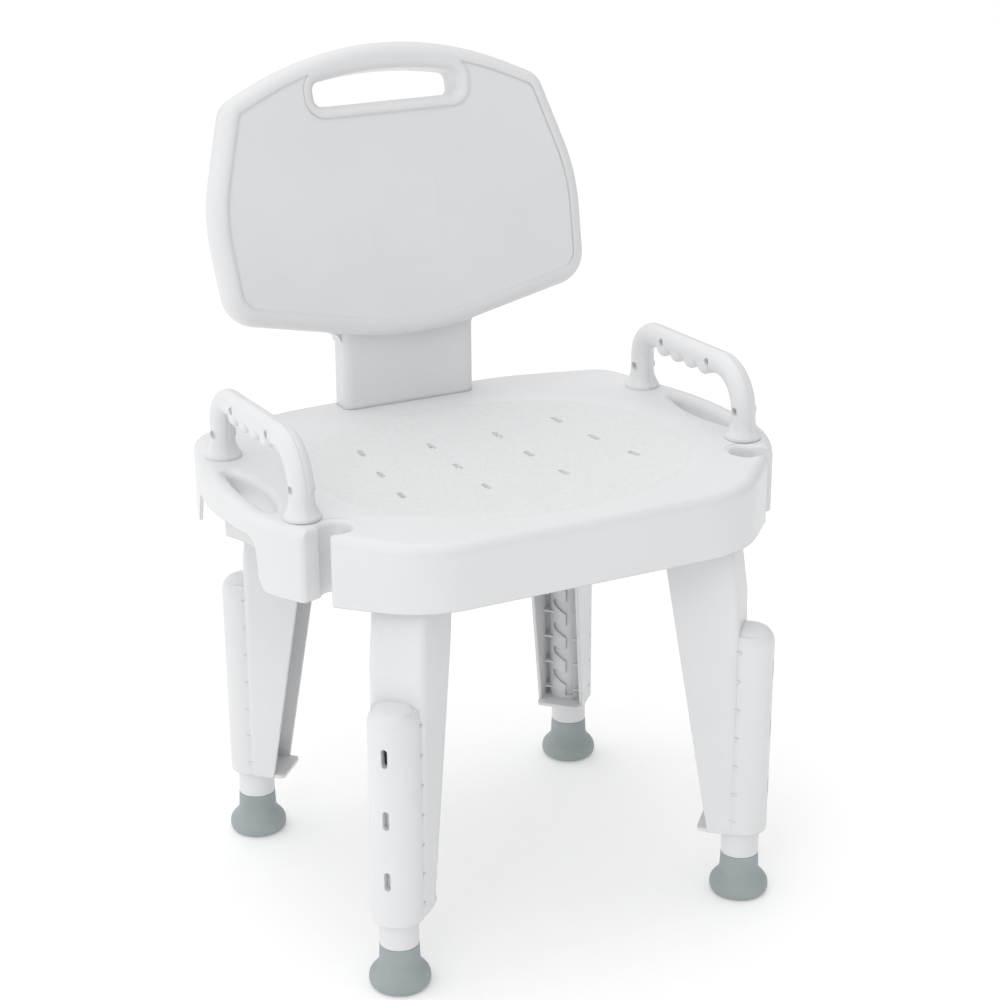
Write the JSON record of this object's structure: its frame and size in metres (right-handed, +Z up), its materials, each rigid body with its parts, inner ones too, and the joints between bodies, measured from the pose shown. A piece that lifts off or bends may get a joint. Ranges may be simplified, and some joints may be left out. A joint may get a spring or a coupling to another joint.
{
  "type": "shower seat",
  "caption": "Moulded bath and shower seat with drain slots, a lift-off backrest, arm handles, hose notches and twist-lock height-adjustable legs on rubber tips.",
  "frame": {"origin": "On the floor, under the middle of the bounding box", "axes": "+Z up; the sitter faces -Y; +X is to the left of someone sitting in it, the viewer's right from the front"},
  "size_m": [0.5026, 0.4146, 0.7255],
  "materials": {
    "white_plastic": "white moulded plastic with a satin sheen",
    "grey_rubber": "mid grey, slightly satin",
    "stainless_steel": "plain fastener steel"
  },
  "bodies": {
    "seat": {"seat_shell": "white_plastic", "left_arm_outer": "white_plastic", "left_arm_inner": "white_plastic", "left_arm_screws": "stainless_steel", "left_arm_bolts": "stainless_steel", "left_arm_washers": "stainless_steel", "right_arm_outer": "white_plastic", "right_arm_inner": "white_plastic", "right_arm_screws": "stainless_steel", "right_arm_bolts": "stainless_steel", "right_arm_washers": "stainless_steel", "leg_housing_front_left": "white_plastic", "leg_housing_front_right": "white_plastic", "leg_housing_rear_left": "white_plastic", "leg_housing_rear_right": "white_plastic"},
    "back": {"backrest": "white_plastic"},
    "tip_front_left": {"rubber_tip_front_left": "grey_rubber"},
    "tube_front_left": {"extension_front_left": "white_plastic"},
    "tip_front_right": {"rubber_tip_front_right": "grey_rubber"},
    "tube_front_right": {"extension_front_right": "white_plastic"},
    "tip_rear_left": {"rubber_tip_rear_left": "grey_rubber"},
    "tube_rear_left": {"extension_rear_left": "white_plastic"},
    "tip_rear_right": {"rubber_tip_rear_right": "grey_rubber"},
    "tube_rear_right": {"extension_rear_right": "white_plastic"}
  },
  "joints": [
    {"name": "backrest_lift", "type": "slide", "parent": "seat", "child": "back", "axis": [0, 0, 1], "range_m": [0, 0.055]},
    {"name": "height_front_left", "type": "slide", "parent": "seat", "child": "tip_front_left", "axis": [0, 0, -1], "range_m": [0, 0.1016]},
    {"name": "twist_front_left", "type": "hinge", "parent": "tip_front_left", "child": "tube_front_left", "pos_m": [-0.17, -0.18091, 0.1], "axis": [0, 0, -1], "range_deg": [0, 42]},
    {"name": "height_front_right", "type": "slide", "parent": "seat", "child": "tip_front_right", "axis": [0, 0, -1], "range_m": [0, 0.1016]},
    {"name": "twist_front_right", "type": "hinge", "parent": "tip_front_right", "child": "tube_front_right", "pos_m": [0.17, -0.18091, 0.1], "axis": [0, 0, -1], "range_deg": [0, 42]},
    {"name": "height_rear_left", "type": "slide", "parent": "seat", "child": "tip_rear_left", "axis": [0, 0, -1], "range_m": [0, 0.1016]},
    {"name": "twist_rear_left", "type": "hinge", "parent": "tip_rear_left", "child": "tube_rear_left", "pos_m": [-0.17, 0.13509, 0.1], "axis": [0, 0, -1], "range_deg": [0, 42]},
    {"name": "height_rear_right", "type": "slide", "parent": "seat", "child": "tip_rear_right", "axis": [0, 0, -1], "range_m": [0, 0.1016]},
    {"name": "twist_rear_right", "type": "hinge", "parent": "tip_rear_right", "child": "tube_rear_right", "pos_m": [0.17, 0.13509, 0.1], "axis": [0, 0, -1], "range_deg": [0, 42]}
  ]
}
